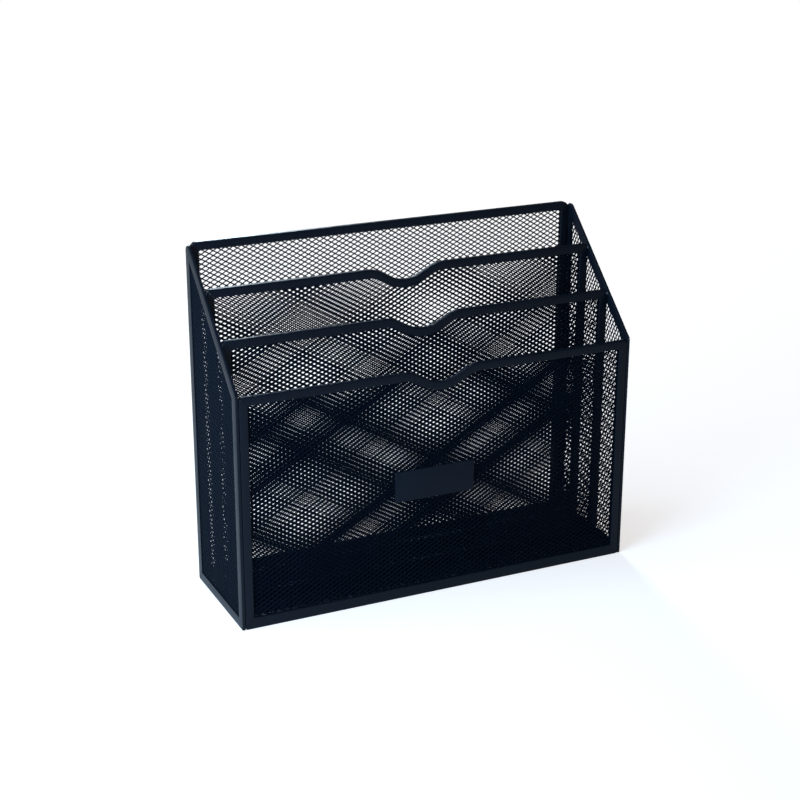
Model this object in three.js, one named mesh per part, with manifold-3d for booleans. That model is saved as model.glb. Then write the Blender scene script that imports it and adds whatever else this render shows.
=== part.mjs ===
// Desktop file holder with three upright pockets, in expanded steel mesh.
// Two thin side panels run the full depth. The front, the back and the dividers stand between
// them over a folded base plate. Every panel is mesh edged with folded channel.
// Millimetres, +Z up, front towards -Y, origin on the table under the middle of the footprint.

import * as THREE from 'three';
import { mergeVertices } from 'three/addons/utils/BufferGeometryUtils.js';
import Module from 'manifold-3d';

// Overall sizes
const WIDTH = 330;
const DEPTH = 101;
const FRONT_HEIGHT = 184.2;
const BACK_HEIGHT = 275.7;
const POCKETS = 3;

// The side slope starts above the front panel, would reach above the back panel but for its
// round peak, and passes just below the dividers' top edges.
const SIDE_FRONT_RISE = 1.3;
const SIDE_BACK_RISE = 4.8;
const DIVIDER_RISE = 1.4;

// Edge channel of the panels that stand across, folded from steel strip and closed by its lips.
// The strip along the foot is wider by the extra.
const CROSS_RIM = { width: 6.6, thickness: 4.5, wall: 0.8, lip: 1.6, rounding: 0.9 };
const FOOT_RIM_EXTRA = 2.2;

// Edge channel of the side panels, folded almost flat
const SIDE_RIM = { width: 7.8, thickness: 2.4, wall: 0.5, lip: 1.5, rounding: 0.5 };

// Panel corners
const FRONT_CORNER_RADIUS = 3;
const BACK_CORNER_RADIUS = 5.5;
const DIVIDER_CORNER_RADIUS = 4;
const SIDE_CORNER_RADIUS = 1.2;
const SIDE_PEAK_RADIUS = 5;
const FOOT_CORNER_RADIUS = 1.5;
const SMALLEST_CORNER_RADIUS = 0.05;

// Finger notch in the front panel and in both dividers
const NOTCH_WIDTH = 64;
const NOTCH_DEPTH = 10.6;
const NOTCH_RADIUS = 24;
const NOTCH_LARGEST_SHARE = 0.98;

// Expanded mesh, drawn with larger diamonds than the real 6.4 x 3.75, in the same proportions
const MESH_THICKNESS = 0.6;
const MESH_LONG_PITCH = 52.9;
const MESH_SHORT_PITCH = 31;
const MESH_STRAND = 6.4;
const MESH_LEAST_OPEN = 0.1;

// Label plate on the front mesh
const LABEL_WIDTH = 67;
const LABEL_HEIGHT = 24.8;
const LABEL_BOTTOM = 80.7;
const LABEL_SIDE_SHIFT = -5.3;
const LABEL_THICKNESS = 0.8;
const LABEL_CORNER_RADIUS = 1;
const LABEL_ROUNDING = 0.2;

// Base plate, a shallow pan folded down at its four edges
const BASE_TOP = 4.5;
const BASE_LIFT = 0.5;
const BASE_SHEET = 0.8;
const BASE_CORNER_RADIUS = 2;

// Clearances
const SEAT_GAP = 0.3;
const MITRE_GAP = 0.3;
const OVERCUT = 2;
const BAND_REACH_SHARE = 0.3;

// Fineness of the curves
const CORNER_STEPS = 4;
const NOTCH_ARC_STEPS = 5;
const ROUNDING_STEPS = 1;
const MERGE_TOLERANCE = 1e-4;
const MESH_EDGE_NUDGE = 0.004;

const COAT = { color: 0x1d232f, roughness: 0.5, metalness: 0.35 };
const MESH_COAT = { color: 0x181d28, roughness: 0.6, metalness: 0.35 };
const PLATE_COAT = { color: 0x161b25, roughness: 0.55, metalness: 0.3 };

const wasm = await Module();
wasm.setup();

// Solids

function toSolid(geometry) {
  const bare = geometry.clone();
  bare.deleteAttribute('normal');
  bare.deleteAttribute('uv');
  const merged = mergeVertices(bare, MERGE_TOLERANCE);
  return new wasm.Manifold(new wasm.Mesh({
    numProp: 3,
    vertProperties: new Float32Array(merged.attributes.position.array),
    triVerts: new Uint32Array(merged.index.array),
  }));
}

function toGeometry(solid) {
  const result = solid.getMesh();
  const geometry = new THREE.BufferGeometry();
  geometry.setAttribute('position', new THREE.BufferAttribute(result.vertProperties, 3));
  geometry.setIndex(new THREE.BufferAttribute(result.triVerts, 1));
  const faceted = geometry.toNonIndexed();
  faceted.computeVertexNormals();
  return faceted;
}

function prism(points, from, to) {
  const geometry = new THREE.ExtrudeGeometry(new THREE.Shape(points), {
    depth: to - from,
    bevelEnabled: false,
  });
  return toSolid(geometry.translate(0, 0, from));
}

function roundedPrism(points, thickness, rounding) {
  const geometry = new THREE.ExtrudeGeometry(new THREE.Shape(points), {
    depth: thickness - 2 * rounding,
    bevelEnabled: true,
    bevelThickness: rounding,
    bevelSize: rounding,
    bevelOffset: -rounding,
    bevelSegments: ROUNDING_STEPS,
  });
  return toSolid(geometry.translate(0, 0, rounding));
}

function named(name, solid, coat) {
  const mesh = new THREE.Mesh(toGeometry(solid), new THREE.MeshStandardMaterial(coat));
  mesh.name = name;
  return mesh;
}

// Outlines

function leftNormal(from, to) {
  const along = to.clone().sub(from).normalize();
  return new THREE.Vector2(-along.y, along.x);
}

// Moves every edge of a counter-clockwise outline inwards by its own distance.
function insetPoints(points, distances) {
  const count = points.length;
  return points.map((point, index) => {
    const last = (index + count - 1) % count;
    const next = (index + 1) % count;
    return insetCorner(points[last], point, points[next], distances[last], distances[index]);
  });
}

function insetCorner(before, point, after, distanceIn, distanceOut) {
  const normalOut = leftNormal(point, after);
  const mitre = leftNormal(before, point).add(normalOut);
  const moved = point.clone().addScaledVector(mitre, (2 * distanceIn) / mitre.lengthSq());
  if (distanceIn === distanceOut) return moved;
  const along = point.clone().sub(before).normalize();
  return moved.addScaledVector(along, (distanceOut - distanceIn) / along.dot(normalOut));
}

function cornerArc(before, corner, after, radius) {
  const normalIn = leftNormal(before, corner);
  const normalOut = leftNormal(corner, after);
  const turn = Math.acos(THREE.MathUtils.clamp(normalIn.dot(normalOut), -1, 1));
  const reach = radius * Math.tan(turn / 2);
  const start = corner.clone().addScaledVector(before.clone().sub(corner).normalize(), reach);
  const centre = start.clone().addScaledVector(normalIn, radius);
  return Array.from({ length: CORNER_STEPS + 1 }, (_, step) => (
    start.clone().rotateAround(centre, (turn * step) / CORNER_STEPS)
  ));
}

// A closed counter-clockwise outline made of named sides. Each side lists its points from its
// own first corner up to, but without, the next side's first corner, and has the width of the
// channel along it.
class Outline {
  constructor(sides) {
    this.sides = sides;
    this.points = sides.flatMap((side) => side.path);
    this.widths = sides.flatMap((side) => side.path.map(() => side.width));
    this.starts = sides.map((_, index) => (
      sides.slice(0, index).reduce((sum, side) => sum + side.path.length, 0)
    ));
  }

  cornerRadius(index) {
    const side = this.starts.indexOf(index);
    return side < 0 ? 0 : this.sides[side].cornerRadius;
  }

  // The outline moved inwards by one distance.
  at(distance) {
    return this.rounded(this.widths.map(() => distance));
  }

  // The opening between the channels, made wider by a margin.
  window(margin) {
    return this.rounded(this.widths.map((width) => width - margin));
  }

  // The outline moved inwards, its round corners staying concentric.
  rounded(distances) {
    const moved = insetPoints(this.points, distances);
    const count = moved.length;
    return moved.flatMap((point, index) => {
      const last = (index + count - 1) % count;
      const radius = this.cornerRadius(index) - Math.max(distances[last], distances[index]);
      if (radius < SMALLEST_CORNER_RADIUS) return [point];
      return cornerArc(moved[last], point, moved[(index + 1) % count], radius);
    });
  }

  // The band along one side, from outside the channel to inside it, between its mitre lines.
  band(side) {
    const count = this.points.length;
    const first = this.starts[side];
    const last = first + this.sides[side].path.length;
    const pick = (points) => (
      Array.from({ length: last - first + 1 }, (_, step) => points[(first + step) % count].clone())
    );
    const scaled = (share) => this.widths.map((width) => share * width);
    const outer = pick(insetPoints(this.points, scaled(-BAND_REACH_SHARE)));
    const inner = pick(insetPoints(this.points, scaled(1 + BAND_REACH_SHARE)));
    pullBack(outer, inner, 0, 1);
    pullBack(outer, inner, outer.length - 1, outer.length - 2);
    return [...outer, ...inner.reverse()];
  }
}

// Moves the end of a band along its side by half of the mitre gap.
function pullBack(outer, inner, end, next) {
  const along = outer[next].clone().sub(outer[end]).normalize();
  const mitre = inner[end].clone().sub(outer[end]).normalize();
  const shift = MITRE_GAP / 2 / Math.abs(along.cross(mitre));
  outer[end].addScaledVector(along, shift);
  inner[end].addScaledVector(along, shift);
}

function arcPoints(centre, radius, fromAngle, toAngle) {
  return Array.from({ length: NOTCH_ARC_STEPS + 1 }, (_, step) => {
    const angle = THREE.MathUtils.lerp(fromAngle, toAngle, step / NOTCH_ARC_STEPS);
    return new THREE.Vector2(
      centre.x + radius * Math.cos(angle),
      centre.y + radius * Math.sin(angle),
    );
  });
}

// The notch from its right shoulder to its left one: a shoulder arc, a straight ramp and half
// of the bottom arc, then the same mirrored. Every arc has one radius and meets its neighbours
// smoothly.
function notchPath(top) {
  const half = NOTCH_WIDTH / 2;
  const largest = (half * half + NOTCH_DEPTH * NOTCH_DEPTH) / (4 * NOTCH_DEPTH);
  const radius = Math.min(NOTCH_RADIUS, NOTCH_LARGEST_SHARE * largest);
  const lean = Math.atan2(half, 2 * radius - NOTCH_DEPTH);
  const ramp = lean - Math.acos((2 * radius) / Math.hypot(half, 2 * radius - NOTCH_DEPTH));
  const up = Math.PI / 2;
  const shoulder = new THREE.Vector2(half, top - radius);
  const bottom = new THREE.Vector2(0, top - NOTCH_DEPTH + radius);
  const right = [
    ...arcPoints(shoulder, radius, up, up + ramp),
    ...arcPoints(bottom, radius, -up + ramp, -up),
  ];
  const left = right.slice(0, -1).reverse().map((point) => new THREE.Vector2(-point.x, point.y));
  return [...right, ...left];
}

// An upright panel, centred across, with or without a finger notch in its top side.
function uprightOutline(width, bottom, top, topRadius, notched) {
  const half = width / 2;
  const corner = (x, y) => new THREE.Vector2(x, y);
  const side = (name, path, cornerRadius, extra = 0) => (
    { name, path, cornerRadius, width: CROSS_RIM.width + extra }
  );
  return new Outline([
    side('bottom', [corner(-half, bottom)], FOOT_CORNER_RADIUS, FOOT_RIM_EXTRA),
    side('right', [corner(half, bottom)], FOOT_CORNER_RADIUS),
    side('top', [corner(half, top), ...(notched ? notchPath(top) : [])], topRadius),
    side('left', [corner(-half, top)], topRadius),
  ]);
}

// A plain rectangle with round corners, centred across.
function plainOutline(width, bottom, top, cornerRadius) {
  const half = width / 2;
  const corners = [[-half, bottom], [half, bottom], [half, top], [-half, top]];
  return new Outline(corners.map(([x, y]) => (
    { path: [new THREE.Vector2(x, y)], cornerRadius }
  )));
}

// A side panel, drawn from front to back, with its sloping top side and round peak.
function sideOutline() {
  const half = DEPTH / 2;
  const side = (name, y, z, cornerRadius) => (
    { name, path: [new THREE.Vector2(y, z)], cornerRadius, width: SIDE_RIM.width }
  );
  return new Outline([
    side('bottom', -half, 0, SIDE_CORNER_RADIUS),
    side('back', half, 0, SIDE_CORNER_RADIUS),
    side('slope', half, slopeHeight(half), SIDE_PEAK_RADIUS),
    side('front', -half, slopeHeight(-half), SIDE_CORNER_RADIUS),
  ]);
}

// Height of the side slope's line at y, as if its peak were not rounded off.
function slopeHeight(y) {
  const front = FRONT_HEIGHT + SIDE_FRONT_RISE;
  const back = BACK_HEIGHT + SIDE_BACK_RISE;
  return THREE.MathUtils.mapLinear(y, -DEPTH / 2, DEPTH / 2, front, back);
}

// Panels

// The four channel strips round a panel, mitred at the corners.
function rimStrips(panel, outline, rim) {
  const below = -OVERCUT;
  const above = rim.thickness + OVERCUT;
  const middle = rim.thickness / 2;
  const slotHalf = MESH_THICKNESS / 2 + SEAT_GAP;
  const blank = roundedPrism(outline.at(0), rim.thickness, rim.rounding);
  const window = prism(outline.window(0), below, above);
  const lips = prism(outline.window(rim.lip), below, above);
  const room = prism(outline.at(rim.wall), rim.wall, rim.thickness - rim.wall);
  const slot = prism(outline.at(rim.wall), middle - slotHalf, middle + slotHalf);
  const channel = blank.subtract(window).subtract(room.subtract(lips)).subtract(slot);
  return outline.sides.map((side, index) => {
    const band = prism(outline.band(index), below, above);
    return named(`${panel}_rim_${side.name}`, channel.intersect(band), COAT);
  });
}

function isInside(point, outline) {
  return outline.reduce((inside, corner, index) => {
    const next = outline[(index + 1) % outline.length];
    if ((corner.y > point.y) === (next.y > point.y)) return inside;
    const crossing = corner.x + ((point.y - corner.y) * (next.x - corner.x)) / (next.y - corner.y);
    return point.x < crossing ? !inside : inside;
  }, false);
}

// Diamond openings in staggered rows. Those on the window's edge are cut in half by it, and those
// centred outside a slope or a round corner are left out.
function diamondShapes(window) {
  const box = new THREE.Box2().setFromPoints(window);
  const size = box.getSize(new THREE.Vector2());
  const long = size.x / Math.max(1, Math.round(size.x / MESH_LONG_PITCH));
  const short = size.y / Math.max(1, Math.round(size.y / MESH_SHORT_PITCH));
  const reach = (long * short) / 2 / Math.hypot(long, short);
  const open = Math.max(MESH_LEAST_OPEN, 1 - MESH_STRAND / 2 / reach);
  const middle = box.getCenter(new THREE.Vector2());
  const shapes = [];
  for (let row = 0; row * short <= 2 * size.y; row += 1) {
    for (let column = row % 2; column * long <= 2 * size.x; column += 2) {
      const step = new THREE.Vector2((column * long) / 2, (row * short) / 2);
      const centre = step.add(box.min);
      const tested = centre.clone().lerp(middle, MESH_EDGE_NUDGE);
      if (isInside(tested, window)) shapes.push(diamond(centre, long * open, short * open));
    }
  }
  return shapes;
}

function diamond(centre, width, height) {
  const corner = (x, y) => new THREE.Vector2(x, y).add(centre);
  return new THREE.Shape([
    corner(width / 2, 0),
    corner(0, height / 2),
    corner(-width / 2, 0),
    corner(0, -height / 2),
  ]);
}

// The mesh sheet, its uncut border held inside the channels.
function meshSheet(panel, outline, rim) {
  const from = (rim.thickness - MESH_THICKNESS) / 2;
  const window = outline.window(0);
  const holes = toSolid(new THREE.ExtrudeGeometry(diamondShapes(window), {
    depth: MESH_THICKNESS + 2 * OVERCUT,
    bevelEnabled: false,
  }).translate(0, 0, from - OVERCUT));
  const opening = prism(window, from - OVERCUT, from + MESH_THICKNESS + OVERCUT);
  const sheet = prism(outline.at(rim.wall + SEAT_GAP), from, from + MESH_THICKNESS);
  return named(`${panel}_mesh`, sheet.subtract(holes.intersect(opening)), MESH_COAT);
}

function panelGroup(panel, outline, rim) {
  const group = new THREE.Group();
  group.add(meshSheet(panel, outline, rim), ...rimStrips(panel, outline, rim));
  return group;
}

// Stands a panel across the holder with its front face at y.
function standAcross(group, frontFace) {
  group.rotation.x = Math.PI / 2;
  group.position.y = frontFace + CROSS_RIM.thickness;
  return group;
}

// Stands a side panel along the holder with its left face at x.
function standAlong(group, leftFace) {
  const basis = new THREE.Matrix4().makeBasis(
    new THREE.Vector3(0, 1, 0),
    new THREE.Vector3(0, 0, 1),
    new THREE.Vector3(1, 0, 0),
  );
  group.quaternion.setFromRotationMatrix(basis);
  group.position.x = leftFace;
  return group;
}

// The sub-assemblies

const innerWidth = WIDTH - 2 * (SIDE_RIM.thickness + SEAT_GAP);

function labelPlate() {
  const outline = plainOutline(LABEL_WIDTH, 0, LABEL_HEIGHT, LABEL_CORNER_RADIUS);
  const plate = roundedPrism(outline.at(0), LABEL_THICKNESS, LABEL_ROUNDING);
  const mesh = named('label_plate', plate, PLATE_COAT);
  const face = (CROSS_RIM.thickness + MESH_THICKNESS) / 2 + SEAT_GAP;
  mesh.position.set(LABEL_SIDE_SHIFT, LABEL_BOTTOM, face);
  return mesh;
}

function frontPanel() {
  const outline = uprightOutline(innerWidth, 0, FRONT_HEIGHT, FRONT_CORNER_RADIUS, true);
  const group = panelGroup('front', outline, CROSS_RIM);
  group.add(labelPlate());
  return standAcross(group, -DEPTH / 2);
}

function backPanel() {
  const outline = uprightOutline(innerWidth, 0, BACK_HEIGHT, BACK_CORNER_RADIUS, false);
  const group = panelGroup('back', outline, CROSS_RIM);
  return standAcross(group, DEPTH / 2 - CROSS_RIM.thickness);
}

function sidePanel(name, leftFace) {
  return standAlong(panelGroup(name, sideOutline(), SIDE_RIM), leftFace);
}

// Dividers share the inner depth into equal pockets, and their tops follow the side slope.
function dividers() {
  const pitch = (DEPTH - CROSS_RIM.thickness) / POCKETS;
  const bottom = BASE_TOP + SEAT_GAP;
  return Array.from({ length: POCKETS - 1 }, (_, index) => {
    const frontFace = -DEPTH / 2 + (index + 1) * pitch;
    const top = slopeHeight(frontFace) + DIVIDER_RISE;
    const outline = uprightOutline(innerWidth, bottom, top, DIVIDER_CORNER_RADIUS, true);
    return standAcross(panelGroup(dividerName(index), outline, CROSS_RIM), frontFace);
  });
}

function dividerName(index) {
  const names = ['front_divider', 'rear_divider'];
  return names[index] ?? `divider_${index + 1}`;
}

function basePlate() {
  const halfDepth = DEPTH / 2 - CROSS_RIM.thickness - SEAT_GAP;
  const outline = plainOutline(innerWidth, -halfDepth, halfDepth, BASE_CORNER_RADIUS);
  const block = prism(outline.at(0), BASE_LIFT, BASE_TOP);
  const hollow = prism(outline.at(BASE_SHEET), BASE_LIFT - OVERCUT, BASE_TOP - BASE_SHEET);
  return named('base_plate', block.subtract(hollow), PLATE_COAT);
}

const holder = new THREE.Group();
holder.add(
  frontPanel(),
  backPanel(),
  sidePanel('left_side', -WIDTH / 2),
  sidePanel('right_side', WIDTH / 2 - SIDE_RIM.thickness),
  ...dividers(),
  basePlate(),
);

export default holder;
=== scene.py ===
"""Dress of the desktop file holder: powder-coated channels round fine expanded steel mesh.

Every panel is drawn flat in its own plane, in metres, and then stood in its place. Across the
holder a panel's u axis is +X, along the holder it is +Y, and its v axis is always +Z.
"""

import logging
import math
from dataclasses import dataclass, field
from enum import Enum
from typing import Iterable, Sequence, Union

import bmesh
import bpy
from mathutils import Matrix, Vector, noise


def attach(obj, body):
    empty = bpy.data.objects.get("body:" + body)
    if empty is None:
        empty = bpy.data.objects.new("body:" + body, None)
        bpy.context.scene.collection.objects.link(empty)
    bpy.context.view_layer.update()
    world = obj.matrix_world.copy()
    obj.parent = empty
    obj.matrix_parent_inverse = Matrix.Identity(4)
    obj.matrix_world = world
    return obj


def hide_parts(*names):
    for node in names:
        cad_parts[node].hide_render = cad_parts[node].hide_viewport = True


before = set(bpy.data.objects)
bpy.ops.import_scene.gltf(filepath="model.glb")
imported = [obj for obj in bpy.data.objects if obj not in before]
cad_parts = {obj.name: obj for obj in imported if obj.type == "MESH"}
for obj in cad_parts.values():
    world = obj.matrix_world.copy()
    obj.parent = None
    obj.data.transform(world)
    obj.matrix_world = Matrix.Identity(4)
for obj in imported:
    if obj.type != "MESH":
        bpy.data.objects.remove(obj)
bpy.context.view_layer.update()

log = logging.getLogger("file_holder")
MM = 0.001

Colour = tuple[float, float, float]
Place = tuple[float, float, float]
Spot = tuple[float, float]

# Below these distances points count as one, are merged, or a radius counts as none.
SAME_POINT = 0.01 * MM
MERGED = 0.002 * MM
NO_RADIUS = 0.05 * MM

# Degrees: edges that bend by less are shaded smooth.
SOFT_BELOW = 35.0


# Node graphs


class Sock:
    """A node's output that takes part in Python arithmetic."""

    def __init__(self, graph: "Graph", socket: bpy.types.NodeSocket) -> None:
        """Wrap one output of a node in a graph."""
        self.graph = graph
        self.socket = socket

    def __add__(self, other: "Value") -> "Sock":
        """Sum of two values."""
        return self.graph.math("ADD", self, other)

    def __radd__(self, other: "Value") -> "Sock":
        """Sum with a plain number on the left."""
        return self.graph.math("ADD", other, self)

    def __sub__(self, other: "Value") -> "Sock":
        """Difference of two values."""
        return self.graph.math("SUBTRACT", self, other)

    def __rsub__(self, other: "Value") -> "Sock":
        """Difference with a plain number on the left."""
        return self.graph.math("SUBTRACT", other, self)

    def __mul__(self, other: "Value") -> "Sock":
        """Product of two values."""
        return self.graph.math("MULTIPLY", self, other)

    def __rmul__(self, other: "Value") -> "Sock":
        """Product with a plain number on the left."""
        return self.graph.math("MULTIPLY", other, self)

    def __truediv__(self, other: "Value") -> "Sock":
        """Quotient of two values."""
        return self.graph.math("DIVIDE", self, other)

    def clamped(self) -> "Sock":
        """This value held between 0 and 1."""
        return self.graph.node("ShaderNodeClamp", {}, {"Value": self, "Min": 0.0, "Max": 1.0})


Value = Union[Sock, float, int, tuple]


class Graph:
    """The nodes of one tree: a material's, the world's, or those that make a mesh."""

    def __init__(self, tree: bpy.types.NodeTree) -> None:
        """Take over a tree and empty it."""
        self.tree = tree
        self.tree.nodes.clear()

    def math(self, operation: str, *values: Value) -> Sock:
        """Add one Math node."""
        return self.node("ShaderNodeMath", {"operation": operation}, dict(enumerate(values)))

    def node(
        self,
        kind: str,
        settings: dict[str, object],
        inputs: dict[Union[str, int], Value],
        output: Union[str, int] = 0,
    ) -> Sock:
        """Add one node.

        Args:
            kind: The node's type name.
            settings: Properties that are set before its sockets are.
            inputs: Values or links by socket name or number.
            output: The output socket that is handed back.

        Returns:
            The chosen output.
        """
        node = self.tree.nodes.new(kind)
        for key, value in settings.items():
            setattr(node, key, value)
        for key, value in inputs.items():
            socket = node.inputs[key]
            if isinstance(value, Sock):
                self.tree.links.new(value.socket, socket)
            else:
                socket.default_value = value
        return Sock(self, node.outputs[output])

    def coordinates(self) -> Sock:
        """The piece's own Object coordinates."""
        return self.node("ShaderNodeTexCoord", {}, {}, "Object")

    def noise(self, scale: float, detail: float, roughness: float = 0.5) -> Sock:
        """Noise on the piece's Object coordinates.

        Args:
            scale: How fine it is, per metre.
            detail: How many finer layers it has.
            roughness: How strong those layers are.

        Returns:
            One number, from 0 to 1.
        """
        return self.node(
            "ShaderNodeTexNoise",
            {},
            {
                "Vector": self.coordinates(),
                "Scale": scale,
                "Detail": detail,
                "Roughness": roughness,
            },
            "Fac",
        )

    def mixed(self, share: Value, first: Colour, second: Colour) -> Sock:
        """A colour between two, by a share from 0 to 1."""
        # Of a Mix node's sockets, 6 and 7 are its two colours and output 2 is their mix.
        inputs = {0: share, 6: (*first, 1.0), 7: (*second, 1.0)}
        return self.node("ShaderNodeMix", {"data_type": "RGBA"}, inputs, 2)

    def bumped(self, height: Value, distance: float, strength: float) -> Sock:
        """A normal bumped by a height, where 1 stands for a distance in metres."""
        inputs = {"Strength": strength, "Distance": distance, "Height": height}
        return self.node("ShaderNodeBump", {}, inputs)

    def principled(self, inputs: dict[Union[str, int], Value]) -> Sock:
        """The principled shader, with values or links by socket name."""
        return self.node("ShaderNodeBsdfPrincipled", {}, inputs)

    def finish(self, last: Sock, kind: str = "ShaderNodeOutputMaterial") -> None:
        """Join the last node to an output node of the given kind."""
        end = self.tree.nodes.new(kind)
        self.tree.links.new(last.socket, end.inputs[0])


# Finishes


def new_material(name: str) -> tuple[bpy.types.Material, Graph]:
    """Start a node material.

    Args:
        name: Its name.

    Returns:
        The material, and the graph of its nodes.
    """
    material = bpy.data.materials.new(name)
    material.use_nodes = True
    return material, Graph(material.node_tree)


@dataclass(frozen=True)
class PowderCoat:
    """A satin powder coat with its fine orange peel, as baked on steel."""

    name: str
    deep: Colour = (0.0026, 0.0050, 0.0104)
    worn: Colour = (0.0062, 0.0102, 0.0190)
    gloss: float = 0.17
    roughness: float = 0.36
    cloud_scale: float = 38.0
    cloud_detail: float = 3.0
    cloud_share: float = 0.65
    cloud_swing: float = 0.14
    speck_scale: float = 2600.0
    speck_detail: float = 2.0
    speck_share: float = 0.35
    peel_scale: float = 900.0
    peel_detail: float = 2.0
    peel_grain: float = 0.6
    peel_swing: float = 0.1
    peel_height: float = 0.04 * MM
    peel_strength: float = 0.5

    def material(self) -> bpy.types.Material:
        """Build the finish as a node material.

        Returns:
            The material.
        """
        material, graph = new_material(self.name)
        clouds = graph.noise(self.cloud_scale, self.cloud_detail)
        specks = graph.noise(self.speck_scale, self.speck_detail)
        peel = graph.noise(self.peel_scale, self.peel_detail, self.peel_grain)
        shade = (self.cloud_share * clouds + self.speck_share * specks).clamped()
        swing = self.cloud_swing * (clouds - 0.5) + self.peel_swing * (peel - 0.5)
        shader = graph.principled(
            {
                "Base Color": graph.mixed(shade, self.deep, self.worn),
                "Roughness": (self.roughness + swing).clamped(),
                "Normal": graph.bumped(peel, self.peel_height, self.peel_strength),
                "Specular IOR Level": self.gloss,
            }
        )
        graph.finish(shader)
        return material


@dataclass(frozen=True)
class Weld:
    """Coat over a small weld: a little smoother, with a pale colour mixed in by ripple noise
    as a painted glint.
    """

    name: str
    deep: Colour = (0.012, 0.016, 0.024)
    # A painted glint: a pale colour that ripple noise mixes in, standing in for highlights on
    # the welds.
    painted_glint: Colour = (0.130, 0.140, 0.155)
    roughness: float = 0.33
    ripple_scale: float = 700.0
    ripple_detail: float = 3.0
    ripple_swing: float = 0.2
    ripple_height: float = 0.1 * MM
    ripple_strength: float = 0.6

    def material(self) -> bpy.types.Material:
        """Build the finish as a node material.

        Returns:
            The material.
        """
        material, graph = new_material(self.name)
        ripples = graph.noise(self.ripple_scale, self.ripple_detail)
        rough = self.roughness + self.ripple_swing * (ripples - 0.5)
        shader = graph.principled(
            {
                # The ripples mix in the pale colour, which is a painted glint.
                "Base Color": graph.mixed(ripples, self.deep, self.painted_glint),
                "Roughness": rough.clamped(),
                "Normal": graph.bumped(ripples, self.ripple_height, self.ripple_strength),
            }
        )
        graph.finish(shader)
        return material


@dataclass(frozen=True)
class PaleFloor:
    """A pale studio floor that keeps a soft shadow and meets a white backdrop."""

    name: str = "pale_floor"
    colour: Colour = (0.86, 0.865, 0.87)
    lower_share: float = 0.985
    mottle_scale: float = 3.0
    mottle_detail: float = 2.0
    roughness: float = 0.9
    gloss: float = 0.1
    tint: Colour = (1.0, 0.92, 0.87)
    lift: float = 0.6
    mirrored_lift: float = 0.13
    fade_from: float = 0.45
    fade_over: float = 0.9

    def material(self) -> bpy.types.Material:
        """Build the floor's material, which fades into the white backdrop for the camera.

        Returns:
            The material.
        """
        material, graph = new_material(self.name)
        seen = graph.node("ShaderNodeLightPath", {}, {}, "Is Camera Ray")
        mirrored = graph.node("ShaderNodeLightPath", {}, {}, "Is Glossy Ray")
        centre = graph.coordinates()
        distance = graph.node(
            "ShaderNodeVectorMath", {"operation": "LENGTH"}, {0: centre}, "Value"
        )
        away = ((distance - self.fade_from) * (1 / self.fade_over)).clamped()
        mottle = graph.noise(self.mottle_scale, self.mottle_detail)
        lower = tuple(self.lower_share * part for part in self.colour)
        matte = graph.principled(
            {
                "Base Color": graph.mixed(mottle, lower, self.colour),
                "Roughness": self.roughness,
                "Specular IOR Level": self.gloss,
            }
        )
        lift = seen * self.lift + mirrored * self.mirrored_lift
        glow = graph.node(
            "ShaderNodeEmission", {}, {"Color": (*self.tint, 1.0), "Strength": lift}
        )
        near = graph.node("ShaderNodeAddShader", {}, {0: matte, 1: glow})
        clear = graph.node("ShaderNodeBsdfTransparent", {}, {})
        both = graph.node("ShaderNodeMixShader", {}, {0: away * seen, 1: near, 2: clear})
        graph.finish(both)
        return material


# Flat outlines


@dataclass
class Side:
    """One side of a panel's outline, from its own first corner to the next side's.

    Its path holds the points between them, and extra is how much wider its strip is.
    """

    name: str
    corner: Spot
    radius: float
    path: list[Spot] = field(default_factory=list)
    extra: float = 0.0


def left_normal(start: Vector, end: Vector) -> Vector:
    """The unit normal to the left of the way from start to end."""
    along = (end - start).normalized()
    return Vector((-along.y, along.x))


def inset_corner(
    before: Vector, point: Vector, after: Vector, distance_in: float, distance_out: float
) -> Vector:
    """Where a corner goes when the sides before and after it each move inwards.

    Args:
        before: The point before the corner.
        point: The corner.
        after: The point after the corner.
        distance_in: How far the side before it moves.
        distance_out: How far the side after it moves.

    Returns:
        The moved corner.
    """
    normal_out = left_normal(point, after)
    mitre = left_normal(before, point) + normal_out
    moved = point + mitre * (2 * distance_in / mitre.length_squared)
    if distance_in == distance_out:
        return moved
    along = (point - before).normalized()
    return moved + along * ((distance_out - distance_in) / along.dot(normal_out))


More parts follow.
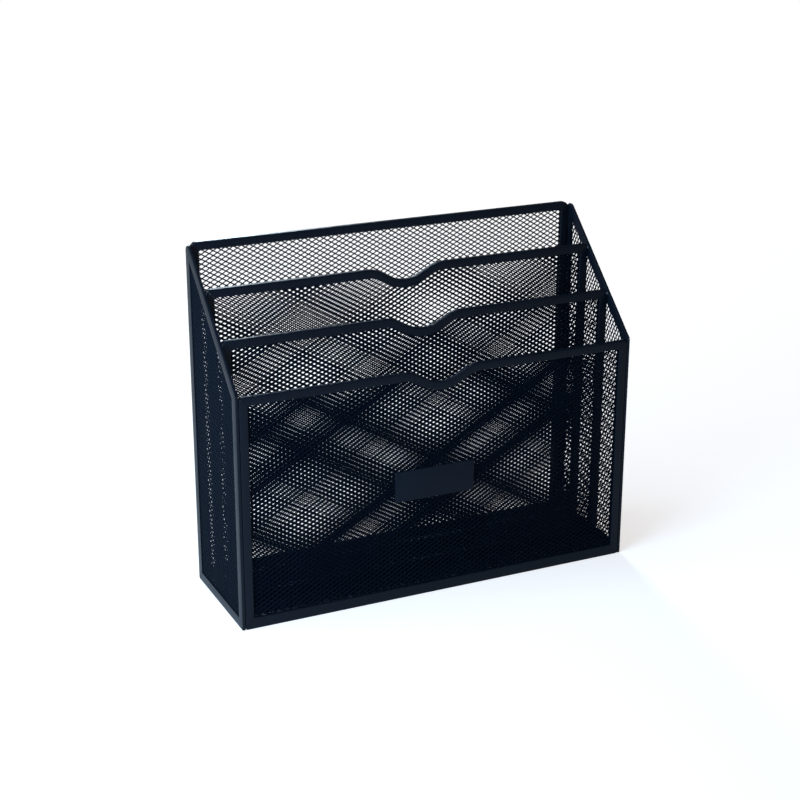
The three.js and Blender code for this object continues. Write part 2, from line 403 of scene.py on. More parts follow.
@dataclass
class Outline:
    """A closed outline, counter-clockwise, that can be drawn again at any inset."""

    sides: list[Side]
    corner_steps: int = 8

    def _points(self) -> list[Vector]:
        """All points, those between the corners among them.

        Returns:
            The points in order.
        """
        points = []
        for side in self.sides:
            points.append(Vector(side.corner))
            points.extend(Vector(point) for point in side.path)
        return points

    def _distances(self, distance: float, stretch: float) -> list[float]:
        """How far the side that starts at each point moves inwards.

        Args:
            distance: How far every side moves.
            stretch: The share of a side's extra width that it moves further.

        Returns:
            One distance for each point.
        """
        return [
            distance + stretch * side.extra
            for side in self.sides
            for _ in range(1 + len(side.path))
        ]

    def _inset(self, distances: list[float]) -> list[Vector]:
        """Move every side inwards by its own distance.

        Args:
            distances: One distance for each point.

        Returns:
            The moved points.
        """
        points = self._points()
        count = len(points)
        moved = []
        for index, point in enumerate(points):
            before, after = points[index - 1], points[(index + 1) % count]
            moved.append(
                inset_corner(before, point, after, distances[index - 1], distances[index])
            )
        return moved

    def _corner(
        self, before: Vector, corner: Vector, after: Vector, radius: float
    ) -> list[Vector]:
        """Draw one corner round.

        Args:
            before: The point before it.
            corner: The sharp corner.
            after: The point after it.
            radius: Its radius.

        Returns:
            The arc's points, or the corner itself as many times where no radius is left.
        """
        if radius < NO_RADIUS:
            return [corner.copy() for _ in range(self.corner_steps + 1)]
        normal_in = left_normal(before, corner)
        normal_out = left_normal(corner, after)
        turn = math.acos(max(-1.0, min(1.0, normal_in.dot(normal_out))))
        reach = radius * math.tan(turn / 2)
        start = corner + (before - corner).normalized() * reach
        centre = start + normal_in * radius
        arm = start - centre
        points = []
        for step in range(self.corner_steps + 1):
            angle = turn * step / self.corner_steps
            turned = Vector(
                (
                    arm.x * math.cos(angle) - arm.y * math.sin(angle),
                    arm.x * math.sin(angle) + arm.y * math.cos(angle),
                )
            )
            points.append(centre + turned)
        return points

    def rings(self, distance: float, stretch: float = 0.0) -> list[list[list[Vector]]]:
        """The outline at one inset.

        Args:
            distance: How far every side moves inwards.
            stretch: The share of a side's extra width that it moves further.

        Returns:
            For each side a list of lists: first its corner's arc, then its other points.
        """
        distances = self._distances(distance, stretch)
        moved = self._inset(distances)
        count = len(moved)
        result = []
        index = 0
        for side in self.sides:
            radius = side.radius - max(distances[index - 1], distances[index])
            arc = self._corner(
                moved[index - 1], moved[index], moved[(index + 1) % count], radius
            )
            result.append([arc, moved[index + 1 : index + 1 + len(side.path)]])
            index += 1 + len(side.path)
        return result

    def loop(self, distance: float) -> list[Vector]:
        """The whole outline at one inset.

        Args:
            distance: How far every side moves inwards.

        Returns:
            One loop of points, none of them doubled.
        """
        points: list[Vector] = []
        for arc, between in self.rings(distance):
            for point in [*arc, *between]:
                if not points or (point - points[-1]).length > SAME_POINT:
                    points.append(point)
        return points

    def run(self, side: int, distance: float, stretch: float) -> list[Vector]:
        """One side at one inset.

        Args:
            side: The side's number.
            distance: How far every side moves inwards.
            stretch: The share of a side's extra width that it moves further.

        Returns:
            Points from the middle of the side's own corner to that of the next.
        """
        rings = self.rings(distance, stretch)
        half = self.corner_steps // 2
        arc, between = rings[side]
        next_arc = rings[(side + 1) % len(rings)][0]
        return [*arc[half:], *between, *next_arc[: half + 1]]


@dataclass(frozen=True)
class FingerNotch:
    """The shallow smooth dip in a top edge, made of four arcs of one radius."""

    width: float = 64 * MM
    depth: float = 10.6 * MM
    radius: float = 24 * MM
    arc_steps: int = 12

    def _arc(self, x: float, y: float, start: float, end: float) -> list[Spot]:
        """Draw one arc.

        Args:
            x: The centre's place across.
            y: The centre's height.
            start: The angle at which it starts.
            end: The angle at which it ends.

        Returns:
            The arc's points.
        """
        points = []
        for step in range(self.arc_steps + 1):
            angle = start + (end - start) * step / self.arc_steps
            points.append(
                (x + self.radius * math.cos(angle), y + self.radius * math.sin(angle))
            )
        return points

    def path(self, top: float) -> list[Spot]:
        """The notch from its right shoulder to its left one.

        Args:
            top: Height of the edge that it dips from.

        Returns:
            Its points.
        """
        half = self.width / 2
        rise = 2 * self.radius - self.depth
        ramp = math.atan2(half, rise) - math.acos(2 * self.radius / math.hypot(half, rise))
        up = math.pi / 2
        right = [
            *self._arc(half, top - self.radius, up, up + ramp),
            *self._arc(0.0, top - self.depth + self.radius, -up + ramp, -up),
        ]
        left = [(-x, y) for x, y in reversed(right[:-1])]
        return [*right, *left]


# Meshes


def mesh_piece(
    name: str, mesh: bpy.types.Mesh, material: Union[bpy.types.Material, None]
) -> bpy.types.Object:
    """Put a finished mesh into the scene as a piece at the origin.

    Args:
        name: The piece's name.
        mesh: Its mesh, already in place.
        material: Its finish, or None where the mesh brings its own.

    Returns:
        The piece.
    """
    piece = bpy.data.objects.new(name, mesh)
    bpy.context.scene.collection.objects.link(piece)
    if material is not None:
        mesh.materials.clear()
        mesh.materials.append(material)
    return piece


def register(piece: bpy.types.Object, nodes: Iterable[str]) -> None:
    """Tell the frame where a piece belongs, and log it.

    Args:
        piece: The finished piece.
        nodes: The solids that it stands for.
    """
    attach(piece, "root")
    if nodes:
        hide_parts(*nodes)
    log.info("%s: %d faces", piece.name, len(piece.data.polygons))


def settle(
    bm: bmesh.types.BMesh, name: str, smooth_below: float = SOFT_BELOW
) -> bpy.types.Mesh:
    """Clean a drawn mesh, turn its faces outwards and smooth its soft edges.

    Args:
        bm: The drawn mesh, which is freed.
        name: The new mesh's name.
        smooth_below: Degrees: edges that bend by less are shaded smooth.

    Returns:
        The clean mesh.
    """
    bmesh.ops.remove_doubles(bm, verts=bm.verts, dist=MERGED)
    bmesh.ops.dissolve_degenerate(bm, edges=bm.edges, dist=MERGED)
    bmesh.ops.recalc_face_normals(bm, faces=bm.faces)
    mesh = bpy.data.meshes.new(name)
    bm.to_mesh(mesh)
    bm.free()
    mesh.shade_smooth()
    mesh.set_sharp_from_angle(angle=math.radians(smooth_below))
    return mesh


def quarter(centre: Spot, radius: float, start: float, steps: int) -> list[Spot]:
    """Draw a quarter circle, clockwise.

    Args:
        centre: Its centre.
        radius: Its radius.
        start: The angle at which it starts, in degrees.
        steps: How many straight steps it has.

    Returns:
        Its points.
    """
    points = []
    for step in range(steps + 1):
        angle = math.radians(start - 90 * step / steps)
        points.append(
            (centre[0] + radius * math.cos(angle), centre[1] + radius * math.sin(angle))
        )
    return points


def rounded_edge(radius: float, top: float, steps: int) -> list[Spot]:
    """The section of an upper edge that rounds over.

    Args:
        radius: The edge's radius.
        top: Height of the face above it.
        steps: How many straight steps it has.

    Returns:
        Pairs of inset and height, from below upwards.
    """
    levels = []
    for step in range(steps + 1):
        angle = math.pi / 2 * step / steps
        levels.append((radius * (1 - math.cos(angle)), top - radius * (1 - math.sin(angle))))
    return levels


def rectangle(low: Spot, high: Spot, corner: float) -> Outline:
    """A rectangle between two opposite corners, its corners rounded."""
    spots = (low, (high[0], low[1]), high, (low[0], high[1]))
    return Outline([Side(str(number), spot, corner) for number, spot in enumerate(spots)])


def loft(outline: Outline, levels: Iterable[Spot]) -> bmesh.types.BMesh:
    """Skin one outline at several insets and heights, and close both ends.

    Args:
        outline: The outline seen from above.
        levels: Pairs of inset and height, from one end to the other.

    Returns:
        The drawn mesh.
    """
    bm = bmesh.new()
    rows = []
    for inset, height in levels:
        points = [point for arc, _ in outline.rings(inset) for point in arc]
        rows.append([bm.verts.new((point.x, point.y, height)) for point in points])
    for row, after in zip(rows, rows[1:]):
        for step in range(len(row)):
            ahead = (step + 1) % len(row)
            bm.faces.new((row[step], row[ahead], after[ahead], after[step]))
    bm.faces.new(rows[0])
    bm.faces.new(rows[-1])
    return bm


@dataclass(frozen=True)
class Channel:
    """The section of a folded channel: its web outside, its lips on the mesh inside."""

    width: float
    thickness: float
    wall: float
    rounding: float
    lip_rounding: float
    slot: float = 1.2 * MM
    arc_steps: int = 4
    seam: float = 0.1 * MM

    def section(self) -> list[Spot]:
        """Draw the section.

        Returns:
            A closed loop of inset and height pairs.
        """
        top, turn, lip = self.thickness, self.rounding, self.lip_rounding
        low = (top - self.slot) / 2
        high = (top + self.slot) / 2
        inner = self.width
        return [
            *quarter((turn, turn), turn, 270, self.arc_steps),
            *quarter((turn, top - turn), turn, 180, self.arc_steps),
            *quarter((inner - lip, top - lip), lip, 90, self.arc_steps),
            (inner, high),
            (self.wall, high),
            (self.wall, low),
            (inner, low),
            *quarter((inner - lip, lip), lip, 0, self.arc_steps),
        ]

    def strip(self, bm: bmesh.types.BMesh, outline: Outline, side: int) -> None:
        """Add the strip along one side of an outline, cut at the mitre lines.

        Args:
            bm: The mesh that it is added to.
            outline: The panel's outline.
            side: The side's number.
        """
        rows = []
        for inset, height in self.section():
            stretch = 1.0 if inset > self.width / 2 else 0.0
            run = outline.run(side, inset, stretch)
            gap = (run[-1] - run[0]).normalized() * self.seam
            run[0] = run[0] + gap
            run[-1] = run[-1] - gap
            rows.append([bm.verts.new((point.x, point.y, height)) for point in run])
        count = len(rows[0])
        for index, row in enumerate(rows):
            after = rows[(index + 1) % len(rows)]
            for step in range(count - 1):
                bm.faces.new((row[step], row[step + 1], after[step + 1], after[step]))
        bm.faces.new([row[0] for row in rows])
        bm.faces.new([row[-1] for row in reversed(rows)])


# Expanded mesh, made by Geometry Nodes


class MeshTree:
    """The node tree that fills a flat face with crossed, twisted strands of expanded steel."""

    SIZES = ("Pitch Across", "Pitch Up", "Strand Width", "Sheet Thickness", "Twist")
    OVERLAP = 0.55  # How far strands run past a knot, as a share of their width.
    RAY_START = 0.01  # Height above the sheet from which its face is looked for.

    def __init__(self) -> None:
        """Build the tree once for all the panels."""
        self.tree = bpy.data.node_groups.new("expanded_steel", "GeometryNodeTree")
        face = self.tree.interface
        face.new_socket("Geometry", in_out="INPUT", socket_type="NodeSocketGeometry")
        for size in self.SIZES:
            face.new_socket(size, in_out="INPUT", socket_type="NodeSocketFloat")
        face.new_socket("Coat", in_out="INPUT", socket_type="NodeSocketMaterial")
        face.new_socket("Geometry", in_out="OUTPUT", socket_type="NodeSocketGeometry")
        self.graph = Graph(self.tree)
        self._build()

    def _given(self, name: str) -> Sock:
        """One of the tree's own inputs."""
        return self.graph.node("NodeGroupInput", {}, {}, name)

    def _part(self, vector: Sock, axis: str) -> Sock:
        """One part of a vector, X, Y or Z."""
        return self.graph.node("ShaderNodeSeparateXYZ", {}, {0: vector}, axis)

    def _even_count(self, extent: Sock, pitch: Sock) -> Sock:
        """The even number of points that covers an extent at a pitch."""
        return self.graph.math("CEIL", extent / (pitch * 2.0)) * 2.0

    def _step_number(self, place: Sock, span: Sock, pitch: Sock) -> Sock:
        """The number of a point's row or column, counted from the grid's edge."""
        return self.graph.math("ROUND", (place + span * 0.5) / pitch)

    def _build(self) -> None:
        """Lay the grid, keep what lies on the face, and set a strand at each point."""
        node = self.graph.node
        panel = self._given("Geometry")
        half_across = self._given("Pitch Across") * 0.5
        half_up = self._given("Pitch Up") * 0.5
        low = node("GeometryNodeBoundBox", {}, {0: panel}, "Min")
        high = node("GeometryNodeBoundBox", {}, {0: panel}, "Max")
        size = node("ShaderNodeVectorMath", {"operation": "SUBTRACT"}, {0: high, 1: low})
        # Of a Mix node's sockets, 4 and 5 are its two vectors and output 1 is their mix.
        middle = node("ShaderNodeMix", {"data_type": "VECTOR"}, {0: 0.5, 4: low, 5: high}, 1)
        columns = self._even_count(self._part(size, "X"), half_across)
        rows = self._even_count(self._part(size, "Y"), half_up)
        across = (columns - 1.0) * half_across
        up = (rows - 1.0) * half_up
        sizes = {"Size X": across, "Size Y": up, "Vertices X": columns, "Vertices Y": rows}
        grid = node("GeometryNodeMeshGrid", {}, sizes)
        place = node("GeometryNodeInputPosition", {}, {})
        column = self._step_number(self._part(place, "X"), across, half_across)
        row = self._step_number(self._part(place, "Y"), up, half_up)
        sense = 1.0 - self.graph.math("MODULO", column + row, 2.0) * 2.0
        stored = node(
            "GeometryNodeStoreNamedAttribute",
            {"data_type": "FLOAT", "domain": "POINT"},
            {"Geometry": grid, "Name": "sense", "Value": sense},
        )
        moved = node("GeometryNodeSetPosition", {}, {"Geometry": stored, "Offset": middle})
        strands = self._strands(self._kept(moved, panel), half_across, half_up)
        joined = node("GeometryNodeRealizeInstances", {}, {0: strands})
        coat = {"Geometry": joined, "Material": self._given("Coat")}
        self.graph.finish(node("GeometryNodeSetMaterial", {}, coat), "NodeGroupOutput")

    def _kept(self, points: Sock, panel: Sock) -> Sock:
        """Delete the points that don't lie on the panel's face.

        Args:
            points: The grid's points.
            panel: The panel's flat face.

        Returns:
            The points that are left.
        """
        node = self.graph.node
        place = node("GeometryNodeInputPosition", {}, {})
        rise = {0: place, 1: (0.0, 0.0, self.RAY_START)}
        ray = {
            "Target Geometry": panel,
            "Source Position": node("ShaderNodeVectorMath", {"operation": "ADD"}, rise),
            "Ray Direction": (0.0, 0.0, -1.0),
            "Ray Length": 2 * self.RAY_START,
        }
        hit = node("GeometryNodeRaycast", {}, ray, "Is Hit")
        missed = node("FunctionNodeBooleanMath", {"operation": "NOT"}, {0: hit})
        return node(
            "GeometryNodeDeleteGeometry",
            {"domain": "POINT", "mode": "ALL"},
            {"Geometry": points, "Selection": missed},
        )

    def _strands(self, points: Sock, half_across: Sock, half_up: Sock) -> Sock:
        """Set one twisted strand at each point, leaning one way or the other.

        Args:
            points: The strands' middles.
            half_across: Half of the pitch across.
            half_up: Half of the pitch up.

        Returns:
            The strands, as instances.
        """
        node, math_of = self.graph.node, self.graph.math
        width = self._given("Strand Width")
        reach = math_of("SQRT", half_across * half_across + half_up * half_up)
        length = reach + width * self.OVERLAP
        sides = {0: length, 1: width, 2: self._given("Sheet Thickness")}
        size = node("ShaderNodeCombineXYZ", {}, sides)
        strand = node("GeometryNodeMeshCube", {}, {"Size": size})
        sense = node(
            "GeometryNodeInputNamedAttribute", {"data_type": "FLOAT"}, {"Name": "sense"}
        )
        lean = math_of("ARCTAN2", half_up, half_across) * sense
        turn = node("ShaderNodeCombineXYZ", {}, {0: self._given("Twist"), 1: 0.0, 2: lean})
        inputs = {"Points": points, "Instance": strand, "Rotation": turn}
        return node("GeometryNodeInstanceOnPoints", {}, inputs)

    def dress(
        self, name: str, loop: Sequence[Vector], sizes: dict[str, object], place: Matrix
    ) -> bpy.types.Object:
        """Fill one flat outline with strands and stand the result in its place.

        Args:
            name: The new piece's name.
            loop: The outline that the strands' middles keep inside.
            sizes: Values of the tree's named inputs, the coat among them.
            place: The matrix from the panel's plane to the holder.

        Returns:
            The piece, a plain mesh at the origin.
        """
        bm = bmesh.new()
        bm.faces.new([bm.verts.new((point.x, point.y, 0.0)) for point in loop])
        bmesh.ops.triangulate(bm, faces=bm.faces)
        blank = bpy.data.meshes.new(name + "_blank")
        bm.to_mesh(blank)
        bm.free()
        piece = mesh_piece(name, blank, None)
        modifier = piece.modifiers.new("expanded_steel", "NODES")
        modifier.node_group = self.tree
        for socket in self.tree.interface.items_tree:
            if socket.in_out == "INPUT" and socket.name in sizes:
                modifier[socket.identifier] = sizes[socket.name]
        piece.update_tag()
        depsgraph = bpy.context.evaluated_depsgraph_get()
        depsgraph.update()
        made = bpy.data.meshes.new_from_object(piece.evaluated_get(depsgraph))
        piece.modifiers.remove(modifier)
        piece.data = made
        if "sense" in made.attributes:
            made.attributes.remove(made.attributes["sense"])
        made.transform(place)
        return piece


# Sub-assemblies


class Stand(Enum):
    """How a panel stands in the holder."""

    ACROSS = "across"
    ALONG = "along"

    def matrix(self, at: float) -> Matrix:
        """From the panel's plane to the holder.

        Args:
            at: Where the panel's zero height goes: a back face's y, or a left face's x.

        Returns:
            The matrix.
        """
        if self is Stand.ACROSS:
            return Matrix(((1, 0, 0, 0), (0, 0, -1, at), (0, 1, 0, 0), (0, 0, 0, 1)))
        return Matrix(((0, 0, 1, at), (1, 0, 0, 0), (0, 1, 0, 0), (0, 0, 0, 1)))


CROSS_CHANNEL = Channel(
    width=6.6 * MM, thickness=4.5 * MM, wall=0.8 * MM, rounding=0.7 * MM, lip_rounding=0.5 * MM
)
SIDE_CHANNEL = Channel(
    width=7.8 * MM, thickness=2.4 * MM, wall=0.5 * MM, rounding=0.5 * MM, lip_rounding=0.3 * MM
)

# The diamonds' two diagonals.
LONG_PITCH = 6.4 * MM
SHORT_PITCH = 3.75 * MM


@dataclass
class MeshPanel:
    """One panel: a sheet of expanded steel mesh in four mitred channels."""

    name: str
    outline: Outline
    channel: Channel
    place: Matrix
    pitch_across: float = LONG_PITCH
    pitch_up: float = SHORT_PITCH
    strand_width: float = 0.92 * MM
    sheet_thickness: float = 0.55 * MM
    twist: float = math.radians(-27.0)
    tuck: float = 4.4 * MM

    def frame_piece(self, coat: bpy.types.Material) -> bpy.types.Object:
        """Build the four channels as one piece.

        Args:
            coat: Their finish.

        Returns:
            The piece.
        """
        bm = bmesh.new()
        for side in range(len(self.outline.sides)):
            self.channel.strip(bm, self.outline, side)
        mesh = settle(bm, self.name + "_channels")
        mesh.transform(self.place)
        return mesh_piece(self.name + "_channels", mesh, coat)

    def sheet_piece(self, tree: MeshTree, coat: bpy.types.Material) -> bpy.types.Object:
        """Build the mesh sheet, its ends tucked into the channels.

        Args:
            tree: The tree that makes the strands.
            coat: Its finish.

        Returns:
            The piece.
        """
        middle = Matrix.Translation((0.0, 0.0, self.channel.thickness / 2))
        sizes = {
            "Pitch Across": self.pitch_across,
            "Pitch Up": self.pitch_up,
            "Strand Width": self.strand_width,
            "Sheet Thickness": self.sheet_thickness,
            "Twist": self.twist,
            "Coat": coat,
        }
        loop = self.outline.loop(self.tuck)
        return tree.dress(self.name + "_expanded", loop, sizes, self.place @ middle)

    def build(
        self, tree: MeshTree, rim: bpy.types.Material, sheet: bpy.types.Material
    ) -> None:
        """Build both pieces and hand them to the frame.

        Args:
            tree: The tree that makes the strands.
            rim: The channels' finish.
            sheet: The mesh's finish.
        """
        rims = [f"{self.name}_rim_{side.name}" for side in self.outline.sides]
        register(self.frame_piece(rim), rims)
        register(self.sheet_piece(tree, sheet), [f"{self.name}_mesh"])


@dataclass
class Holder:
    """The sizes that all panels share, and the panels built from them."""

    width: float = 330 * MM
    depth: float = 101 * MM
    front_height: float = 184.2 * MM
    back_height: float = 275.7 * MM
    brow_height: float = 185.5 * MM
    peak_height: float = 280.5 * MM
    peak_radius: float = 5 * MM
    side_radius: float = 1.2 * MM
    foot_radius: float = 1.5 * MM
    foot_extra: float = 2.2 * MM
    front_radius: float = 3 * MM
    back_radius: float = 5.5 * MM
    divider_radius: float = 4 * MM
    divider_rise: float = 1.4 * MM
    divider_bottom: float = 4.8 * MM
    seat: float = 0.3 * MM
    pockets: int = 3
    notch: FingerNotch = field(default_factory=FingerNotch)

    @property
    def half_inner(self) -> float:
        """Half of the width between the side panels, less the seat."""
        return self.width / 2 - SIDE_CHANNEL.thickness - self.seat

    def slope(self, y: float) -> float:
        """Height of the side slope's line at y."""
        share = y / self.depth + 0.5
        return self.brow_height + (self.peak_height - self.brow_height) * share

    def upright(self, bottom: float, top: float, radius: float, notched: bool) -> Outline:
        """The outline of a panel that stands across.

        Args:
            bottom: Height of its lower edge.
            top: Height of its upper edge.
            radius: Radius of its upper corners.
            notched: Whether its upper edge has the finger notch.

        Returns:
            The outline.
        """
        half = self.half_inner
        path = self.notch.path(top) if notched else []
        return Outline(
            [
                Side("bottom", (-half, bottom), self.foot_radius, extra=self.foot_extra),
                Side("right", (half, bottom), self.foot_radius),
                Side("top", (half, top), radius, path),
                Side("left", (-half, top), radius),
            ]
        )

    def side_outline(self) -> Outline:
        """The outline of a side panel, with its slope and round peak.

        Returns:
            The outline.
        """
        half = self.depth / 2
        return Outline(
            [
                Side("bottom", (-half, 0.0), self.side_radius),
                Side("back", (half, 0.0), self.side_radius),
                Side("slope", (half, self.peak_height), self.peak_radius),
                Side("front", (-half, self.brow_height), self.side_radius),
            ]
        )

    def cross_panel(self, name: str, outline: Outline, front_face: float) -> MeshPanel:
        """A panel that stands across with its front face at a given y."""
        place = Stand.ACROSS.matrix(front_face + CROSS_CHANNEL.thickness)
        return MeshPanel(name, outline, CROSS_CHANNEL, place)

    def divider_faces(self) -> list[float]:
        """The y of each divider's front face."""
        pitch = (self.depth - CROSS_CHANNEL.thickness) / self.pockets
        return [-self.depth / 2 + (step + 1) * pitch for step in range(self.pockets - 1)]

    def panels(self) -> list[MeshPanel]:
        """Lay out the holder.

        Returns:
            All six panels.
        """
        front = self.upright(0.0, self.front_height, self.front_radius, True)
        back = self.upright(0.0, self.back_height, self.back_radius, False)
        made = [
            self.cross_panel("front", front, -self.depth / 2),
            self.cross_panel("back", back, self.depth / 2 - CROSS_CHANNEL.thickness),
        ]
        for name, face in zip(("front_divider", "rear_divider"), self.divider_faces()):
            top = self.slope(face) + self.divider_rise
            outline = self.upright(self.divider_bottom, top, self.divider_radius, True)
            made.append(self.cross_panel(name, outline, face))
        left = Stand.ALONG.matrix(-self.width / 2)
        right = Stand.ALONG.matrix(self.width / 2 - SIDE_CHANNEL.thickness)
        turned = {"pitch_across": SHORT_PITCH, "pitch_up": LONG_PITCH}
        for name, place in (("left_side", left), ("right_side", right)):
            made.append(MeshPanel(name, self.side_outline(), SIDE_CHANNEL, place, **turned))
        return made


@dataclass
class LabelPlate:
    """The blank plate on the front mesh, its edges chamfered at the back and rounded at the
    front.
    """

    width: float = 67 * MM
    height: float = 24.8 * MM
    bottom: float = 80.7 * MM
    shift: float = -5.3 * MM
    thickness: float = 0.8 * MM
    back: float = 2.85 * MM
    corner: float = 1 * MM
    rounding: float = 0.3 * MM
    steps: int = 4

    def build(self, front_face: float, coat: bpy.types.Material) -> None:
        """Build the plate on the front panel and hand it to the frame.

        Args:
            front_face: The y of the front panel's face.
            coat: Its finish.
        """
        half = self.width / 2
        outline = rectangle((-half, 0.0), (half, self.height), self.corner)
        chamfer = self.rounding / 2
        levels = [
            (chamfer, 0.0),
            (0.0, chamfer),
            *rounded_edge(self.rounding, self.thickness, self.steps),
        ]
        mesh = settle(loft(outline, levels), "blank_label_plate")
        place = Stand.ACROSS.matrix(front_face + CROSS_CHANNEL.thickness)
        mesh.transform(place @ Matrix.Translation((self.shift, self.bottom, self.back)))
        register(mesh_piece("blank_label_plate", mesh, coat), ["label_plate"])


@dataclass
class BasePan:
    """The shallow pan that closes the pockets below, folded down at its edges."""

    half_width: float
    half_depth: float
    top: float = 4.5 * MM
    lift: float = 0.5 * MM
    sheet: float = 0.8 * MM
    fold: float = 1.2 * MM
    corner: float = 2 * MM
    steps: int = 5

    def build(self, coat: bpy.types.Material) -> None:
        """Build the pan and hand it to the frame.

        Args:
            coat: Its finish.
        """
        reach = (self.half_width, self.half_depth)
        outline = rectangle((-reach[0], -reach[1]), reach, self.corner)
        outside = [(0.0, self.lift), *rounded_edge(self.fold, self.top, self.steps)]
        inside = [(self.sheet, self.lift), (self.fold + self.sheet, self.top - self.sheet)]
        mesh = settle(loft(outline, [*reversed(outside), *inside]), "folded_base_pan")
        register(mesh_piece("folded_base_pan", mesh, coat), ["base_plate"])


@dataclass
class Welds:
    """The small weld beads where the panels' channels meet."""

    radius: float = 1.0 * MM
    subdivisions: int = 2
    swell: float = 0.25
    lumps: float = 1400.0
    tallness: float = 1.25
    seed: int = 7
    smooth_below: float = 60.0
    below_slope: float = 1.6 * MM
    behind_face: float = 0.4 * MM
    proud_of_side: float = 0.1 * MM
    into_side: float = 0.9 * MM
    peak_y: float = 46.8 * MM
    peak_z: float = 273.0 * MM

    def places(self, holder: Holder) -> list[Place]:
        """Find where the beads sit.

        Args:
            holder: The holder that they join.

        Returns:
            The ends of the dividers, then the side panels' peaks, left before right.
        """
        inner = holder.width / 2 - SIDE_CHANNEL.thickness
        at_ends = inner - self.proud_of_side
        at_peaks = inner + self.into_side
        spots = [
            (at_ends, face + self.behind_face, holder.slope(face) - self.below_slope)
            for face in holder.divider_faces()
        ]
        spots.append((at_peaks, self.peak_y, self.peak_z))
        return [(side * x, y, z) for x, y, z in spots for side in (-1, 1)]

    def build(self, holder: Holder, coat: bpy.types.Material) -> None:
        """Build all the beads as one piece and hand it to the frame.

        Args:
            holder: The holder that they join.
            coat: Their finish.
        """
        bm = bmesh.new()
        for number, place in enumerate(self.places(holder)):
            made = bmesh.ops.create_icosphere(
                bm, subdivisions=self.subdivisions, radius=self.radius
            )
            for vert in made["verts"]:
                lump = noise.noise(vert.co * self.lumps + Vector((number, self.seed, 0)))
                vert.co *= 1 + self.swell * lump
                vert.co.z *= self.tallness
                vert.co += Vector(place)
        mesh = settle(bm, "weld_beads", self.smooth_below)
        register(mesh_piece("weld_beads", mesh, coat), [])


# The set


@dataclass(frozen=True)
class Viewpoint:
    """The photograph's camera, fitted to the holder's edges."""

    place: Place = (-0.538276, -1.120689, 0.588587)
    azimuth: float = -25.161
    elevation: float = 19.746
    roll: float = 0.084
    focal_pixels: float = 1685.317
    image_pixels: int = 800
    sensor: float = 36.0
    sight: float = 50.0

    def build(self) -> None:
        """Create the camera and make it the scene's."""
        azimuth = math.radians(self.azimuth)
        elevation = math.radians(self.elevation)
        roll = math.radians(self.roll)
        ahead = Vector(
            (
                math.sin(-azimuth) * math.cos(elevation),
                math.cos(azimuth) * math.cos(elevation),
                -math.sin(elevation),
            )
        )
        level = ahead.cross(Vector((0, 0, 1))).normalized()
        above = level.cross(ahead)
        right = math.cos(roll) * level + math.sin(roll) * above
        up = math.cos(roll) * above - math.sin(roll) * level
        data = bpy.data.cameras.new("view")
        data.sensor_width = self.sensor
        data.lens = self.focal_pixels * self.sensor / self.image_pixels
        data.clip_end = self.sight
        camera = bpy.data.objects.new("view", data)
        turn = Matrix((right, up, -ahead)).transposed().to_4x4()
        camera.matrix_world = Matrix.Translation(self.place) @ turn
        bpy.context.scene.collection.objects.link(camera)
        bpy.context.scene.camera = camera


@dataclass(frozen=True)
class Softbox:
    """A large soft lamp aimed at the holder."""

    name: str
    place: Place
    size: Spot
    power: float
    colour: Colour
    aim: Place = (0.0, 0.0, 0.12)

    def build(self) -> None:
        """Create the lamp."""
        data = bpy.data.lights.new(self.name, "AREA")
        data.shape = "RECTANGLE"
        data.size, data.size_y = self.size
        data.energy = self.power
        data.color = self.colour
        lamp = bpy.data.objects.new(self.name, data)
        lamp.location = self.place
        way = Vector(self.aim) - Vector(self.place)
        lamp.rotation_euler = way.to_track_quat("-Z", "Y").to_euler()
        bpy.context.scene.collection.objects.link(lamp)


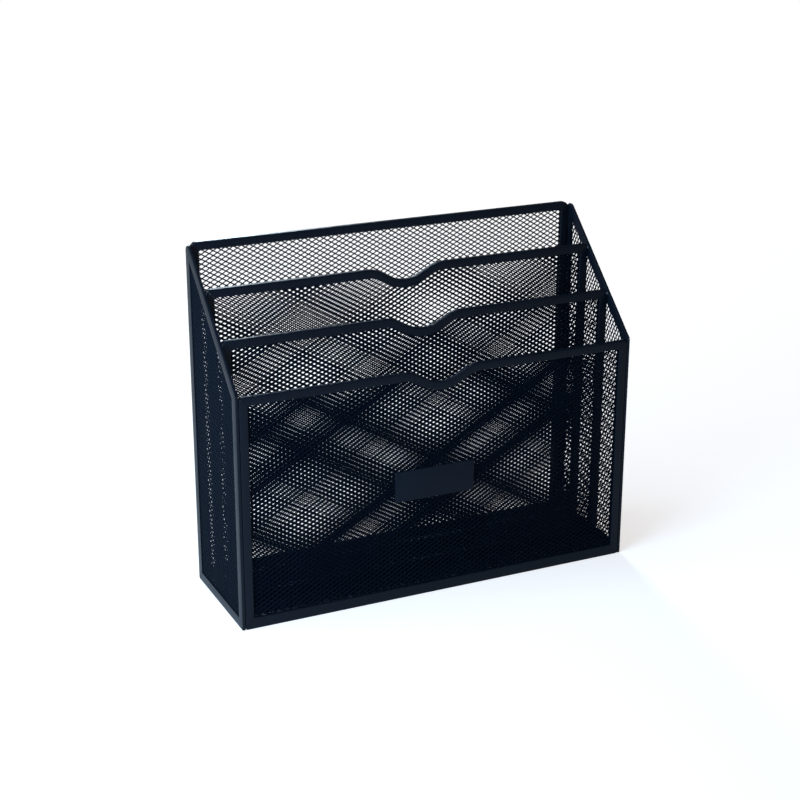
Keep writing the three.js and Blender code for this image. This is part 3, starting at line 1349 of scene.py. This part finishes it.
@dataclass
class Studio:
    """Floor, lamps, surroundings and camera."""

    floor_half: float = 12.0
    world_level: float = 0.08
    world_colour: Colour = (1.0, 1.0, 1.0)
    lamps: tuple[Softbox, ...] = (
        Softbox("key_left", (-0.66, -0.34, 0.40), (0.45, 0.45), 6.0, (0.46, 0.73, 1.0)),
        Softbox("overhead", (-0.9, 0.0, 1.9), (1.6, 1.6), 19.0, (0.66, 0.84, 1.0)),
        Softbox("behind", (0.42, 2.0, 0.98), (0.4, 0.5), 21.0, (0.74, 0.88, 1.0)),
    )
    viewpoint: Viewpoint = Viewpoint()

    def build(self) -> None:
        """Set the stage round the holder."""
        self._floor()
        self._world()
        for lamp in self.lamps:
            lamp.build()
        self.viewpoint.build()
        bpy.context.scene.view_settings.view_transform = "Standard"

    def _floor(self) -> None:
        """A pale floor that runs out of sight."""
        half = self.floor_half
        mesh = bpy.data.meshes.new("studio_floor")
        corners = [(-half, -half, 0), (half, -half, 0), (half, half, 0), (-half, half, 0)]
        mesh.from_pydata(corners, [], [(0, 1, 2, 3)])
        mesh_piece("studio_floor", mesh, PaleFloor().material())

    def _world(self) -> None:
        """Even dim surroundings that the camera sees as white."""
        world = bpy.data.worlds.new("surroundings")
        bpy.context.scene.world = world
        world.use_nodes = True
        graph = Graph(world.node_tree)
        seen = graph.node("ShaderNodeLightPath", {}, {}, "Is Camera Ray")
        level = self.world_level + (1.0 - self.world_level) * seen
        inputs = {"Color": (*self.world_colour, 1.0), "Strength": level}
        glow = graph.node("ShaderNodeBackground", {}, inputs)
        graph.finish(glow, "ShaderNodeOutputWorld")


def main() -> None:
    """Build the holder, then the set round it."""
    logging.basicConfig(level=logging.INFO, format="%(message)s")
    rim = PowderCoat("coat_on_channels").material()
    sheet = PowderCoat(
        "coat_on_mesh",
        deep=(0.0014, 0.0042, 0.0105),
        worn=(0.0036, 0.0080, 0.0170),
        gloss=0.07,
        roughness=0.55,
    ).material()
    plate = PowderCoat(
        "coat_on_plates",
        deep=(0.0016, 0.0048, 0.0120),
        worn=(0.0052, 0.0112, 0.0225),
        gloss=0.16,
        roughness=0.48,
    ).material()
    weld = Weld("coat_on_welds").material()
    holder = Holder()
    tree = MeshTree()
    for panel in holder.panels():
        panel.build(tree, rim, sheet)
    LabelPlate().build(-holder.depth / 2, plate)
    half_depth = holder.depth / 2 - CROSS_CHANNEL.thickness - holder.seat
    BasePan(holder.half_inner, half_depth).build(plate)
    Welds().build(holder, weld)
    Studio().build()


if __name__ == "__main__":
    main()
